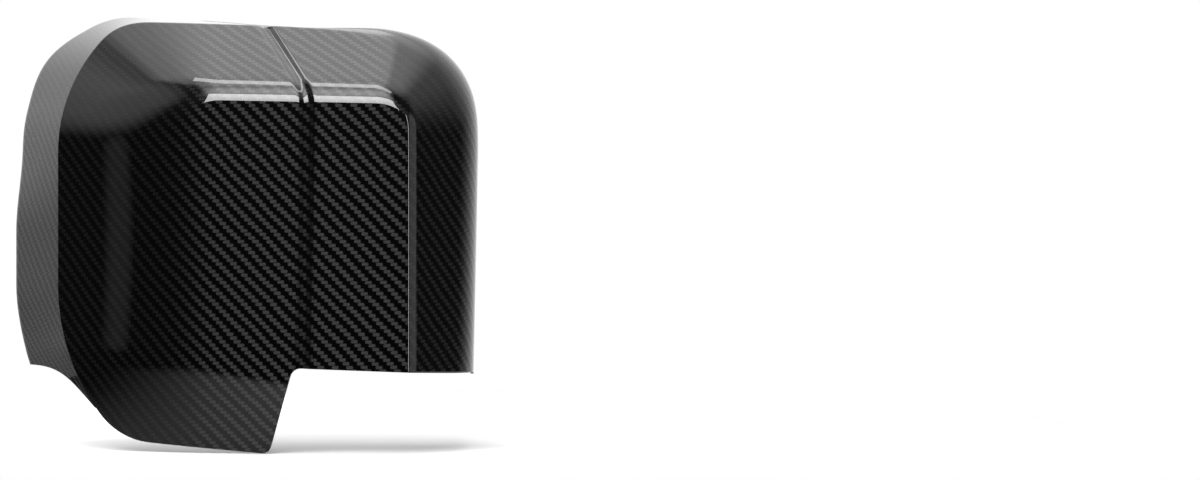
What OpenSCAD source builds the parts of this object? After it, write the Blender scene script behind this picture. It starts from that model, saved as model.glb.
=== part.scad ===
// Cover for the head of a car's outside mirror: one woven-fibre shell that goes over the mirror housing from the front.
// It has a swept front panel between three bevels, a rolled chin lobe below, a notch for the mirror arm, a flared
// flange on the outer side, and a shallow parting groove that runs up the front and back over the top.
// X runs towards the car, Y runs back from the front panel to the rim, and Z is up.
// The laying-out datum is the foremost line of the front panel at Y = 0, at mid height of the mirror at Z = 0.

/* [Shell] */
// Thickness of the laminate
wall = 1.8; // [1.2:0.1:2.6]
// Depth from the front panel's inner end to the rim
depth = 138; // [125:1:155]

/* [Front panel] */
// X of the panel's inner end, where the inner bevel starts
panel_end_x = 89.5; // [82:0.5:95]
// Z of the panel's top edge, where the top bevel starts
panel_top_z = 82; // [76:0.5:84]
// Fall of that edge per millimetre towards the car
panel_top_fall = 0.022; // [0:0.001:0.03]
// Sweep-back of the panel at its inner end, in degrees
panel_sweep = 5; // [3:0.5:7]
// Radius of the panel's curve from side to side
panel_sweep_r = 625; // [500:5:900]
// Radius of the panel's curve from top to bottom
panel_crown_r = 1250; // [800:10:3000]

/* [Bevels] */
// X at which the outer bevel would meet the datum plane
outer_bevel_x = -25.3; // [-32:0.1:-20]
// Slope of the outer bevel, in degrees
outer_bevel_deg = 45; // [42:0.5:48]
// Slope of the top bevel, in degrees
top_bevel_deg = 46; // [42:0.5:50]
// Slope of the inner bevel, in degrees
inner_bevel_deg = 47; // [43:0.5:50]
// Softness of the bend into the outer bevel
outer_soft = 25; // [15:1:29]
// Softness of the bend into the top bevel
top_soft = 7.8; // [3:0.1:9]
// Softness of the bend into the inner bevel
inner_soft = 3.5; // [2:0.5:6]
// Rounding of the panel's upper outer corner
outer_round = 30; // [30:1:45]
// Rounding of the panel's upper inner corner
inner_round = 20; // [6:1:26]

/* [Chin] */
// Z of the chin line on the mirror's middle
chin_z = -78; // [-82:0.5:-74]
// Rise of the chin line per millimetre towards the outer side
chin_lean = 0.162; // [0.1:0.002:0.2]
// Slope of the chin under the panel, in degrees
chin_deg = 17; // [10:0.5:22]
// Softness of the chin's bend
chin_soft = 1.5; // [1:0.1:3]

/* [Parting groove] */
// X of the groove at the panel's top edge
groove_x = 32.6; // [28:0.2:36]
// Depth of the groove
groove_deep = 1; // [0.4:0.1:1.8]
// Width of the groove's steep side
groove_steep = 5; // [3:0.1:6]
// Width of the groove's gentle side
groove_gentle = 5; // [4:0.1:8]
// Drift of the groove per millimetre down the panel
groove_drift = 0.018; // [0:0.001:0.03]
// Turn of the groove towards the outer side as it runs back, in degrees
groove_yaw = 26; // [18:0.5:30]

/* [Crease round the bevels] */
// X of the crease on the outer side
crease_x = -106.3; // [-110:0.1:-103]
// Inside radius of the crease
crease_inner_r = 0.3; // [0.3:0.1:1.5]
// X of the centre of the crease's upper arc
upper_arc_x = -9.3; // [-12:0.1:-7]
// Z of the centre of the crease's upper arc
upper_arc_z = 48.5; // [45:0.1:52]
// Z at which the crease's lower arc starts
lower_arc_z = -25; // [-32:0.5:-20]
// Radius of the crease's lower arc
lower_arc_r = 123; // [115:1:140]
// Z of the crease along the top, above the outer bevel
top_edge_z = 122.4; // [119:0.1:125]
// Fall of the top edge per millimetre towards the car
top_edge_fall = 0.043; // [0.035:0.001:0.05]
// Softness of the corner between the upper arc and the top edge
top_edge_soft = 12; // [8:0.5:15]

/* [Inner side] */
// X at which the inner bevel ends and the roll into the side wall starts
side_roll_x = 115.6; // [113:0.1:119]
// Lean of the side wall per millimetre down from its upper corner
side_lean = 0.022; // [0:0.002:0.04]
// Z at which the upper inner corner starts
side_corner_z = 52; // [46:0.5:58]
// Fullness of the upper inner corner, where 2 is an ellipse
side_corner_power = 3.2; // [2.6:0.1:3.8]
// Radius of the roll into the side wall
side_roll_r = 48; // [40:1:54]

/* [Walls behind the crease] */
// Slope of the outer flange, in degrees
flange_deg = 65; // [62:0.5:68]
// Slope of the top wall, in degrees
top_wall_deg = 85.8; // [83:0.1:86.5]
// Slope of the inner side wall, in degrees
side_wall_deg = 87; // [85:0.1:88.5]
// Extra slope where the flange narrows towards its upper end, in degrees
flange_narrow_deg = 3.2; // [0:0.1:5]
// Extra slope where the flange narrows towards its lower end, in degrees
flange_tuck_deg = 2.5; // [0:0.1:5]

/* [Lower trim line] */
// Z at which the trim line leaves the crease
trim_join_z = -94; // [-96:0.1:-90]
// Z along the crease that faces the flange's lower corner
trim_flange_z = -63.5; // [-66:0.5:-56]
// X of the chin lobe's outer corner
lobe_outer_x = -73; // [-74:0.5:-66]
// Z of the chin lobe's outer corner
lobe_outer_z = -111.4; // [-114:0.1:-110]
// X of the chin lobe's inner corner
lobe_inner_x = 11.5; // [8:0.5:15]
// Z of the chin lobe's inner corner
lobe_inner_z = -118.5; // [-122:0.1:-116]
// X of the arm notch's inner corner
notch_x = 24.2; // [22:0.1:25]
// Z of the arm notch's top edge
notch_z = -70.6; // [-72:0.1:-66]
// Fall of the notch's edge from its corner to the side wall
notch_fall = 5; // [0:0.1:7]
// Further fall of that edge along the side wall
side_drop = 3.4; // [0:0.1:6]
// Corner radius of the lobe's outer corner
lobe_outer_r = 39; // [20:1:40]
// Corner radius of the lobe's inner corner
lobe_inner_r = 4.5; // [3:0.5:7]
// Corner radius of the notch
notch_r = 6; // [4:0.5:9]

/* [Hidden] */

// Centre of the weights that pull the mesh lines to the sides
mid_x = 20;
// Heights between which the mesh lines start to follow the lower and upper edges
low_follow_z = -30;
high_follow_z = 60;
// Upper ends of the mesh lines on the crease
outer_corner_z = 104;
inner_corner_z = 98;
// Distance of the top edge's start from the crease's upper corner
top_line_from = 34;
// Height on the mirror's side that stays level while the mesh lines fan out above and below it
fan_z = 30;
// Heights over which the flange's extra slope comes in and goes out again
narrow_in_z = 5;
narrow_out_z = 70;
// Outside radius of the crease, and the radius of the upper arc that meets the crease's straight side
crease_r = crease_inner_r + wall;
upper_arc_r = upper_arc_x - crease_x;
// Steps of each bend and of each wall behind it
bend_steps = 4;
wall_steps = 5;
// Small step for slopes
eps = 0.05;

function clamp(t, lo = 0, hi = 1) = min(max(t, lo), hi);
function smooth(t) = let (c = clamp(t)) c * c * (3 - 2 * c);
function mix(a, b, t) = a + (b - a) * t;
function spread(a, b, n) = [for (i = [0 : n - 1]) mix(a, b, i / n)];
function bend(a, soft) = a > soft ? a : a < -soft ? 0 : pow(a + soft, 2) / (4 * soft);
function soft_min(a, b, k) = min(a, b) - pow(max(k - abs(a - b), 0), 2) / (4 * k);

// Depth of the front panel behind the datum plane
function panel(x, z) =
    let (u = panel_end_x - x) tan(panel_sweep) * u + u * u / (2 * panel_sweep_r) + z * z / (2 * panel_crown_r);

// How far the side and top bevels fall away behind the panel, with their common corner rounded
function bevels(x, z) =
    let (
        outer = x < groove_x,
        side = outer ? tan(outer_bevel_deg) * (outer_bevel_x - x) - panel(x, z)
                     : tan(inner_bevel_deg) * (x - panel_end_x),
        top = tan(top_bevel_deg) * (z - panel_top_z + panel_top_fall * (x - groove_x)),
        r = outer ? outer_round : inner_round,
        a = max(side + r, 0),
        b = max(top + r, 0),
        fall = a + b > 0 ? norm([a, b]) - r : max(side, top),
        share = a + b > 0 ? a * a / (a * a + b * b) : 0.5
    )
    bend(fall, mix(top_soft, outer ? outer_soft : inner_soft, share));

function chin(x, z) = bend(tan(chin_deg) * (chin_z - chin_lean * x - z), chin_soft);
function skin(x, z) = panel(x, z) + bevels(x, z) + chin(x, z);

// Depth of the parting groove at a point of the skin
function groove(p) =
    let (
        drift = groove_drift * (min(p[2], panel_top_z) - panel_top_z),
        back = max(p[1] - panel(groove_x, 0) - 1.5, 0),
        d = p[0] - groove_x - drift + tan(groove_yaw) * back
    )
    groove_deep * (1 - smooth(abs(d) / (d > 0 ? groove_steep : groove_gentle)));

// Outline of the crease, seen from the front
function outer_edge(z) =
    z < upper_arc_z ? crease_x + lower_arc_r - sqrt(pow(lower_arc_r, 2) - pow(min(z - lower_arc_z, 0), 2))
                    : upper_arc_x - sqrt(pow(upper_arc_r, 2) - pow(z - upper_arc_z, 2));
function top_line(x) = top_edge_z - top_edge_fall * (x - outer_edge(outer_corner_z) - top_line_from);
function top_edge(x) =
    x < 0 ? soft_min(upper_arc_z + sqrt(max(pow(upper_arc_r, 2) - pow(x - upper_arc_x, 2), 0)), top_line(x),
                     top_edge_soft)
          : side_corner_z + (top_line(x) - side_corner_z)
                * pow(max(1 - pow(x / side_roll_x, side_corner_power), 0), 1 / side_corner_power);
function corner_x(z, x) =
    side_roll_x * pow(max(1 - pow(max(z - side_corner_z, 0) / (top_line(x) - side_corner_z), side_corner_power), 0),
                      1 / side_corner_power);
function settle_x(z, x, n) = n == 0 ? x : settle_x(z, corner_x(z, x), n - 1);
function side_edge(z) = settle_x(z, side_roll_x, 12) - side_lean * max(side_corner_z - z, 0);

// Rounded corner at b on the way from a to c
function corner(a, b, c, r) =
    let (
        u = (a - b) / norm(a - b),
        v = (c - b) / norm(c - b),
        half = acos(u * v) / 2,
        centre = b + (u + v) / norm(u + v) * r / sin(half),
        s = b + u * r / tan(half) - centre,
        e = b + v * r / tan(half) - centre,
        s_deg = atan2(s[1], s[0]),
        turn = (atan2(e[1], e[0]) - s_deg + 540) % 360 - 180
    )
    [for (i = [0 : 6]) centre + r * [cos(s_deg + turn * i / 6), sin(s_deg + turn * i / 6)]];

// Lower trim line, from the crease round the chin lobe and the arm notch to the side wall
trim_start = [outer_edge(trim_join_z), trim_join_z];
lobe_outer = [lobe_outer_x, lobe_outer_z];
lobe_inner = [lobe_inner_x, lobe_inner_z];
notch = [notch_x, notch_z];
trim_end = [side_roll_x + side_roll_r, notch_z - notch_fall];
trim_line = concat(
    [trim_start],
    corner(trim_start, lobe_outer, lobe_inner, lobe_outer_r),
    corner(lobe_outer, lobe_inner, notch, lobe_inner_r),
    corner(lobe_inner, notch, trim_end, notch_r),
    [trim_end]
);
function trim_z(x) = lookup(x, trim_line);

// Mesh columns from the outer side inwards, close together at the lobe's edge, the groove and the inner bend
groove_from = groove_x - groove_gentle;
groove_to = groove_x + groove_steep;
columns = concat(
    spread(crease_x, crease_x + 4, 2),
    spread(crease_x + 4, lobe_inner_x - 5, 12),
    spread(lobe_inner_x - 5, groove_from, 8),
    spread(groove_from, groove_x, 5),
    spread(groove_x, groove_to, 4),
    spread(groove_to, panel_end_x - inner_soft, 6),
    spread(panel_end_x - inner_soft, panel_end_x + inner_soft, 4),
    spread(panel_end_x + inner_soft, side_roll_x, 4),
    [side_roll_x]
);
// Mesh rows from the trim line upwards, close together at the chin line and the top bend
rows = concat(
    spread(lobe_inner_z, chin_z - 3, 6),
    spread(chin_z - 3, chin_z + 10, 4),
    spread(chin_z + 10, panel_top_z - top_soft, 9),
    spread(panel_top_z - top_soft, panel_top_z + top_soft, 5),
    spread(panel_top_z + top_soft, top_edge_z - 1, 6),
    [top_edge_z - 1]
);
last_col = len(columns) - 1;
last_row = len(rows) - 1;

// Heights of a row's two ends on the crease
function end_z(z, low_end, high_end, low_power) =
    z < fan_z ? z + (low_end - rows[0]) * pow((fan_z - z) / (fan_z - rows[0]), low_power)
           : z - (rows[last_row] - high_end) * pow((z - fan_z) / (rows[last_row] - fan_z), 1.6);
outer_ends = [for (z = rows) let (e = end_z(z, trim_join_z, outer_corner_z, 2)) [outer_edge(e), e]];
inner_ends = [for (z = rows) let (e = end_z(z, trim_z(side_roll_x), inner_corner_z, 1)) [side_edge(e), e]];

// Share of a column that follows the outer side, the inner side and the groove
outer_pull = [for (x = columns) pow(clamp((mid_x - x) / (mid_x - crease_x)), 3)];
inner_pull = [for (x = columns) pow(clamp((x - mid_x) / (side_roll_x - mid_x)), 3)];
groove_pull = [for (x = columns) smooth(x < groove_x ? (x - crease_x) / (groove_x - crease_x)
                                                     : (side_roll_x - x) / (side_roll_x - groove_x))];

// Place of a mesh point before it follows the upper and lower edges
function side_xz(i, j) =
    let (
        o = outer_ends[j],
        n = inner_ends[j],
        rise = tan(top_bevel_deg) * max(rows[j] - panel_top_z, 0),
        drift = groove_drift * (min(rows[j], panel_top_z) - panel_top_z)
    )
    [columns[i] + outer_pull[i] * (o[0] - crease_x) + inner_pull[i] * (n[0] - side_roll_x)
         + groove_pull[i] * (drift - tan(groove_yaw) * rise),
     rows[j] + outer_pull[i] * (o[1] - rows[j]) + inner_pull[i] * (n[1] - rows[j])];
function mesh_xz(i, j) =
    let (
        p = side_xz(i, j),
        t = side_xz(i, last_row),
        b = side_xz(i, 0),
        up = pow(clamp((rows[j] - high_follow_z) / (rows[last_row] - high_follow_z)), 2),
        down = clamp((low_follow_z - rows[j]) / (low_follow_z - rows[0]))
    )
    [p[0], p[1] + up * (top_edge(t[0]) - t[1]) + down * (trim_z(b[0]) - b[1])];

// A node of the smooth skin holds its point and its outward normal
function skin_node(q) =
    let (
        y = skin(q[0], q[1]),
        dx = (skin(q[0] + eps, q[1]) - skin(q[0] - eps, q[1])) / (2 * eps),
        dz = (skin(q[0], q[1] + eps) - skin(q[0], q[1] - eps)) / (2 * eps),
        n = [dx, -1, dz]
    )
    [[q[0], y, q[1]], n / norm(n)];
face_nodes = [for (j = [0 : last_row]) for (i = [0 : last_col]) skin_node(mesh_xz(i, j))];

// Outward direction of the crease outline, seen from the front
function outer_dir(z) = let (d = (outer_edge(z + eps) - outer_edge(z - eps)) / (2 * eps), n = [-1, d]) n / norm(n);
function top_dir(x) = let (d = (top_edge(x + eps) - top_edge(x - eps)) / (2 * eps), n = [-d, 1]) n / norm(n);
function side_dir(z) = let (d = (side_edge(z + eps) - side_edge(z - eps)) / (2 * eps), n = [1, -d]) n / norm(n);

// Slope of the wall behind the crease: the flange on the outer side turns into the top wall
function flange_slope(x, z) =
    let (
        up = smooth(atan2(z - upper_arc_z, upper_arc_x - x) / 61.5),
        low = flange_deg + flange_narrow_deg * smooth((z - narrow_in_z) / 50) * (1 - smooth((z - narrow_out_z) / 30))
            + flange_tuck_deg * smooth((-z - 25) / 45)
    )
    mix(low, top_wall_deg, pow(up, 2.3));
function top_slope(x, z) = mix(flange_slope(x, z), side_wall_deg, smooth((x + 20) / 100));
function roll_r(x) = mix(crease_r, side_roll_r, smooth((x - 28) / (side_roll_x - 28)));

// Node of the band behind the crease: level 0 lies on the crease, then come the bend and the wall to the rim
function band_node(q, dir, r, slope, level) =
    let (
        y = skin(q[0], q[1]),
        b = q - dir * eps,
        from = atan((y - skin(b[0], b[1])) / eps),
        deg = level > bend_steps ? slope : mix(from, slope, level / bend_steps),
        out = r * (sin(deg) - sin(from)),
        back = y + r * (cos(from) - cos(deg)),
        t = max(level - bend_steps, 0) / wall_steps,
        reach = out + (depth - back) * t / tan(slope),
        p = q + dir * reach
    )
    [[p[0], mix(back, depth, t), p[1]], [dir[0] * sin(deg), -cos(deg), dir[1] * sin(deg)]];

// Stations along the crease: up the outer side, along the top and down the inner side
outer_last = outer_ends[last_row][1];
band_levels = bend_steps + wall_steps;
function level_share(level) = max(level - bend_steps, 0) / wall_steps;
function outer_station(j, level) =
    let (
        t = level_share(level),
        foot = mix(trim_flange_z, trim_join_z, (1 - t) / (1 + 4 * t)),
        z = foot + (outer_ends[j][1] - trim_join_z) * (outer_last - foot) / (outer_last - trim_join_z),
        x = outer_edge(z)
    )
    band_node([x, z], outer_dir(z), crease_r, flange_slope(x, z), level);
function top_station(i, level) =
    let (
        x0 = mesh_xz(i, last_row)[0],
        back = (depth - skin(x0, top_edge(x0))) * level_share(level),
        x = x0 - tan(groove_yaw) * back * groove_pull[i],
        z = top_edge(x)
    )
    band_node([x, z], top_dir(x), roll_r(x), top_slope(x, z), level);
function inner_station(j, level) =
    let (
        z0 = mesh_xz(last_col, j)[1],
        low = smooth((side_corner_z - z0) / (side_corner_z - trim_z(side_roll_x))),
        z = z0 - side_drop * level_share(level) * low,
        dir = side_dir(z)
    )
    band_node([side_edge(z), z], dir, roll_r(side_edge(z)), side_wall_deg, level);
band_nodes = [for (level = [1 : band_levels]) concat(
    [for (j = [0 : last_row]) outer_station(j, level)],
    [for (i = [1 : last_col - 1]) top_station(i, level)],
    [for (j = [last_row : -1 : 0]) inner_station(j, level)]
)];
stations = len(band_nodes[0]);

nodes = concat(face_nodes, [for (level = band_nodes) each level]);
node_count = len(nodes);
rim_from = node_count - stations;

// The two faces of the laminate: both drop into the groove, and at the rim both end in one flat plane
function sunk(k, d) =
    let (p = nodes[k][0], n = nodes[k][1])
    k < rim_from ? p - n * d : let (flat = [n[0], 0, n[2]]) p - flat / (flat * flat) * d;
outer_pts = [for (k = [0 : node_count - 1]) sunk(k, groove(nodes[k][0]))];
inner_pts = [for (k = [0 : node_count - 1]) sunk(k, groove(nodes[k][0]) + wall)];
points = concat(outer_pts, inner_pts);

// Indices of the mesh
function face_id(i, j) = j * (last_col + 1) + i;
edge_ids = concat(
    [for (j = [0 : last_row]) face_id(0, j)],
    [for (i = [1 : last_col - 1]) face_id(i, last_row)],
    [for (j = [last_row : -1 : 0]) face_id(last_col, j)]
);
function band_id(k, level) = level == 0 ? edge_ids[k] : len(face_nodes) + (level - 1) * stations + k;
function quad(a, b, c, d) = [[a, b, c], [a, c, d]];
outer_faces = [
    for (j = [0 : last_row - 1]) for (i = [0 : last_col - 1])
        each quad(face_id(i, j), face_id(i, j + 1), face_id(i + 1, j + 1), face_id(i + 1, j)),
    for (level = [0 : band_levels - 1]) for (k = [0 : stations - 2])
        each quad(band_id(k, level), band_id(k, level + 1), band_id(k + 1, level + 1), band_id(k + 1, level))
];
inner_faces = [for (f = outer_faces) [f[2] + node_count, f[1] + node_count, f[0] + node_count]];
// Loop round the free edge: the trim line, the side wall's lower end, the rim, and the flange's lower end
edge_loop = concat(
    [for (i = [0 : last_col - 1]) face_id(i, 0)],
    [for (level = [0 : band_levels - 1]) band_id(stations - 1, level)],
    [for (k = [stations - 1 : -1 : 1]) band_id(k, band_levels)],
    [for (level = [band_levels : -1 : 1]) band_id(0, level)]
);
edge_faces = [
    for (k = [0 : len(edge_loop) - 1])
        let (a = edge_loop[k], b = edge_loop[(k + 1) % len(edge_loop)])
        each quad(a, b, b + node_count, a + node_count)
];

// The finished part is moved so that its box is centred on the origin
function span(axis) = let (v = [for (p = points) p[axis]]) [min(v), max(v)];
box_mid = [for (axis = [0 : 2]) let (s = span(axis)) (s[0] + s[1]) / 2];

module cover_shell() {
    color([0.06, 0.06, 0.07])
        translate(-box_mid)
            polyhedron(points = points, faces = concat(outer_faces, inner_faces, edge_faces), convexity = 8);
}

cover_shell();
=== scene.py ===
"""Wing mirror cover in clear-coated twill carbon fibre, dressed for a studio picture.

The shell is one moulded laminate. Its shape comes from the same named sizes as the solid part, at a finer
pitch, and its cloth is laid over it by arc length, so that the tows keep their real width on every face.
Sizes of the part are in millimetres and degrees until the last step, which turns the mesh into metres. The
floor and the lamps are set out in metres.
"""

import math
from types import SimpleNamespace

import bmesh
import bpy
import numpy as np
from bpy.props import FloatProperty, IntProperty, PointerProperty, StringProperty
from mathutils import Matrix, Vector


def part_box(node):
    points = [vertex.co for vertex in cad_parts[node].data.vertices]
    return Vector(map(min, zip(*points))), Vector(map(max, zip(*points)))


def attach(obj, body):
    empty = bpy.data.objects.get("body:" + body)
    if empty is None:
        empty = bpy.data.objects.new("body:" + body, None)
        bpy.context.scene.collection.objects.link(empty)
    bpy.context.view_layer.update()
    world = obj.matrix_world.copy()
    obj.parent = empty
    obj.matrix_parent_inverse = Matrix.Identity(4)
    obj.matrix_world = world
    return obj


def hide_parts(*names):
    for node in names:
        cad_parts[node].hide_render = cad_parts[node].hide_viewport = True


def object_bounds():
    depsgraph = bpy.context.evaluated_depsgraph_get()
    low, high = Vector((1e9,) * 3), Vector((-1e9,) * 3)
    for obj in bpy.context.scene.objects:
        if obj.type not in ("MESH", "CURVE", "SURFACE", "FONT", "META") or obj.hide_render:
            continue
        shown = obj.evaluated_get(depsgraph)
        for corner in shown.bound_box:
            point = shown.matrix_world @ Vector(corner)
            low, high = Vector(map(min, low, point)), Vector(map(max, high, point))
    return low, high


bl_info = {
    "name": "Wing Mirror Cover",
    "version": (1, 0, 0),
    "blender": (4, 5, 0),
    "location": "3D View > Sidebar > Mirror Cover",
    "description": "Builds a twill carbon fibre wing mirror cover and its studio",
    "category": "Object",
}

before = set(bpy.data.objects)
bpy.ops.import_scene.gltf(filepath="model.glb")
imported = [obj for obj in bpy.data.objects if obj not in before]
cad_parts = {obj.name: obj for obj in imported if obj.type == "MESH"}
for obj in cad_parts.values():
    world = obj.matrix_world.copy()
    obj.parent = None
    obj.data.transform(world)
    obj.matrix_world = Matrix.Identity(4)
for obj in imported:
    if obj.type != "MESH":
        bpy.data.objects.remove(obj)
CAD_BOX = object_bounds()
NODE = "cover_shell"
BODY = "root"
MM = 0.001


# Settings


def length(label, value, says):
    """A size in millimetres, kept by Blender in metres."""
    return FloatProperty(name=label, description=says, default=value * MM, unit="LENGTH", precision=5)


def angle(label, value, says):
    """An angle in degrees, kept by Blender in radians."""
    return FloatProperty(name=label, description=says, default=math.radians(value), subtype="ANGLE")


def share(label, value, says):
    """A plain number."""
    return FloatProperty(name=label, description=says, default=value, precision=4)


def tint(label, value, says):
    """An sRGB hex colour."""
    return StringProperty(name=label, description=says, default=value)


class ShellSizes(bpy.types.PropertyGroup):
    """Sizes of the shell, the solid part's own but for the line of painted shade beside the groove, the edge
    round and the detail.
    """

    wall: length("Wall", 1.8, "Thickness of the laminate")
    depth: length("Depth", 138, "Depth from the front panel's inner end to the rim")
    panel_end_x: length("Panel end", 89.5, "X where the inner bevel starts")
    panel_top_z: length("Panel top", 82, "Z where the top bevel starts")
    panel_top_fall: share("Panel top fall", 0.022, "Fall of that edge towards the car")
    panel_sweep: angle("Panel sweep", 5, "Sweep-back of the panel at its inner end")
    panel_sweep_r: length("Panel side curve", 625, "Radius of the panel from side to side")
    panel_crown_r: length("Panel crown", 1250, "Radius of the panel from top to bottom")
    outer_bevel_x: length("Outer bevel", -25.3, "X where the outer bevel would meet the datum plane")
    outer_bevel_deg: angle("Outer bevel slope", 45, "Slope of the outer bevel")
    top_bevel_deg: angle("Top bevel slope", 46, "Slope of the top bevel")
    inner_bevel_deg: angle("Inner bevel slope", 47, "Slope of the inner bevel")
    outer_soft: length("Outer softness", 25, "Softness of the bend into the outer bevel")
    top_soft: length("Top softness", 7.8, "Softness of the bend into the top bevel")
    inner_soft: length("Inner softness", 3.5, "Softness of the bend into the inner bevel")
    outer_round: length("Outer corner", 30, "Rounding of the panel's upper outer corner")
    inner_round: length("Inner corner", 20, "Rounding of the panel's upper inner corner")
    chin_z: length("Chin line", -78, "Z of the chin line on the mirror's middle")
    chin_lean: share("Chin lean", 0.162, "Rise of the chin line towards the outer side")
    chin_deg: angle("Chin slope", 17, "Slope of the chin under the panel")
    chin_soft: length("Chin softness", 1.5, "Softness of the chin's bend")
    groove_x: length("Groove", 32.6, "X of the parting groove at the panel's top edge")
    groove_deep: length("Groove depth", 1, "Depth of the groove")
    groove_steep: length("Groove steep side", 5, "Width of the groove's steep side")
    groove_gentle: length("Groove gentle side", 5, "Width of the groove's gentle side")
    # Where the line of painted shade runs beside the groove, and its half width
    shade_line: length("Resin line", 4, "Distance of the resin-rich line from the groove's middle")
    shade_line_half: length("Resin line half width", 1.4, "Half the width of that line")
    groove_drift: share("Groove drift", 0.018, "Drift of the groove down the panel")
    groove_yaw: angle("Groove turn", 26, "Turn of the groove as it runs back")
    crease_x: length("Crease", -106.3, "X of the crease on the outer side")
    crease_inner_r: length("Crease radius", 0.3, "Inside radius of the crease")
    upper_arc_x: length("Upper arc X", -9.3, "X of the centre of the crease's upper arc")
    upper_arc_z: length("Upper arc Z", 48.5, "Z of the centre of the crease's upper arc")
    lower_arc_z: length("Lower arc Z", -25, "Z at which the crease's lower arc starts")
    lower_arc_r: length("Lower arc radius", 123, "Radius of the crease's lower arc")
    top_edge_z: length("Top edge", 122.4, "Z of the crease along the top")
    top_edge_fall: share("Top edge fall", 0.043, "Fall of the top edge towards the car")
    top_edge_soft: length("Top edge softness", 12, "Softness of the corner where the top edge starts")
    side_roll_x: length("Side roll", 115.6, "X where the roll into the side wall starts")
    side_lean: share("Side lean", 0.022, "Lean of the side wall down from its upper corner")
    side_corner_z: length("Side corner", 52, "Z at which the upper inner corner starts")
    side_corner_power: share("Side corner fullness", 3.2, "Fullness of that corner, where 2 is an ellipse")
    side_roll_r: length("Side roll radius", 48, "Radius of the roll into the side wall")
    flange_deg: angle("Flange slope", 65, "Slope of the outer flange")
    top_wall_deg: angle("Top wall slope", 85.8, "Slope of the top wall")
    side_wall_deg: angle("Side wall slope", 87, "Slope of the inner side wall")
    flange_narrow_deg: angle("Flange upper change", 3.2, "Extra slope towards the flange's upper end")
    flange_tuck_deg: angle("Flange lower change", 2.5, "Extra slope towards the flange's lower end")
    trim_join_z: length("Trim start", -94, "Z at which the trim line leaves the crease")
    trim_flange_z: length("Trim flange", -63.5, "Z along the crease facing the flange's lower corner")
    lobe_outer_x: length("Lobe outer X", -73, "X of the chin lobe's outer corner")
    lobe_outer_z: length("Lobe outer Z", -111.4, "Z of the chin lobe's outer corner")
    lobe_inner_x: length("Lobe inner X", 11.5, "X of the chin lobe's inner corner")
    lobe_inner_z: length("Lobe inner Z", -118.5, "Z of the chin lobe's inner corner")
    notch_x: length("Notch X", 24.2, "X of the arm notch's inner corner")
    notch_z: length("Notch Z", -70.6, "Z of the arm notch's top edge")
    notch_fall: length("Notch fall", 5, "Fall of the notch's edge to the side wall")
    side_drop: length("Side drop", 3.4, "Further fall of that edge along the side wall")
    lobe_outer_r: length("Lobe outer radius", 39, "Corner radius of the lobe's outer corner")
    lobe_inner_r: length("Lobe inner radius", 4.5, "Corner radius of the lobe's inner corner")
    notch_r: length("Notch radius", 6, "Corner radius of the notch")
    edge_round: length("Edge round", 1.3, "Radius to which the trimmed edges are sanded")
    detail: IntProperty(
        name="Detail", description="Mesh steps for each step of the solid", default=4, min=1, max=5
    )


class ClothLooks(bpy.types.PropertyGroup):
    """Cloth, resin and clear coat."""

    tow: length("Tow width", 2.03, "Width of a tow of 3K cloth, 12.5 to the inch")
    # The weft's colour is lighter than the warp's: painted sheen of the tows across, which catch the light
    # overhead
    weft_painted_sheen: tint("Weft", "#343435", "Colour of the tows that run across")
    warp: tint("Warp", "#0A0A0C", "Colour of the tows that run up and down")
    # The resin's colour is also what the groove's painted shade darkens towards
    resin_and_groove_shade: tint("Resin", "#050506", "Colour of the resin between the tows")
    coat_rough: share("Coat roughness", 0.025, "Roughness of the polished clear coat")
    back: tint("Back", "#1C1C1E", "Colour of the laminate's bag side")


class StudioLooks(bpy.types.PropertyGroup):
    """Floor and camera."""

    paper: tint("Paper", "#D1D1D1", "Colour of the floor's paper")
    shade: tint("Shade", "#1A1A1A", "Colour of the paper where it falls into shade")
    camera_far: length("Camera distance", 2400, "Distance from the camera to the datum plane")
    pixel: length("Pixel", 0.545, "Width that one pixel covers at the datum plane")


# Small helpers


def in_mm(props):
    """Every value of a property group as plain numbers: millimetres, degrees and shares."""
    out = {}
    for prop in props.bl_rna.properties:
        if prop.identifier in ("rna_type", "name"):
            continue
        value = getattr(props, prop.identifier)
        if prop.type == "FLOAT" and prop.unit == "LENGTH":
            value = value / MM
        elif prop.type == "FLOAT" and prop.subtype == "ANGLE":
            value = math.degrees(value)
        out[prop.identifier] = value
    return SimpleNamespace(**out)


def linear(text):
    """An sRGB hex colour as linear RGBA."""
    parts = [int(text[k : k + 2], 16) / 255 for k in (1, 3, 5)]
    return [p / 12.92 if p <= 0.04045 else ((p + 0.055) / 1.055) ** 2.4 for p in parts] + [1.0]


def put(tree, node, inputs):
    """Set or link a node's inputs, given by order or by name."""
    pairs = inputs.items() if isinstance(inputs, dict) else enumerate(inputs)
    for key, value in pairs:
        if isinstance(value, bpy.types.Node):
            value = value.outputs[0]
        if isinstance(value, bpy.types.NodeSocket):
            tree.links.new(value, node.inputs[key])
        else:
            node.inputs[key].default_value = value


def add(tree, kind, inputs=(), **settings):
    """Add a node, set its attributes, and set or link its inputs."""
    node = tree.nodes.new(kind)
    for key, value in settings.items():
        setattr(node, key, value)
    put(tree, node, inputs)
    return node


def blend(tree, factor, first, second):
    """Mix two colours, each linear RGBA or a socket."""
    return add(tree, "ShaderNodeMix", {"Factor": factor, 6: first, 7: second}, data_type="RGBA").outputs[2]


def clamp(t):
    """t, kept between 0 and 1."""
    return np.minimum(np.maximum(t, 0.0), 1.0)


def smooth(t):
    """A soft step from 0 to 1."""
    c = clamp(t)
    return c * c * (3 - 2 * c)


def mix(a, b, t):
    """The value a share t of the way from a to b."""
    return a + (b - a) * t


def tan(deg):
    """Tangent of an angle in degrees."""
    return np.tan(np.radians(deg))


def bend(a, soft):
    """The larger of a and 0, with a soft corner."""
    return np.where(a > soft, a, np.where(a < -soft, 0.0, (a + soft) ** 2 / (4 * soft)))


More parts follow.
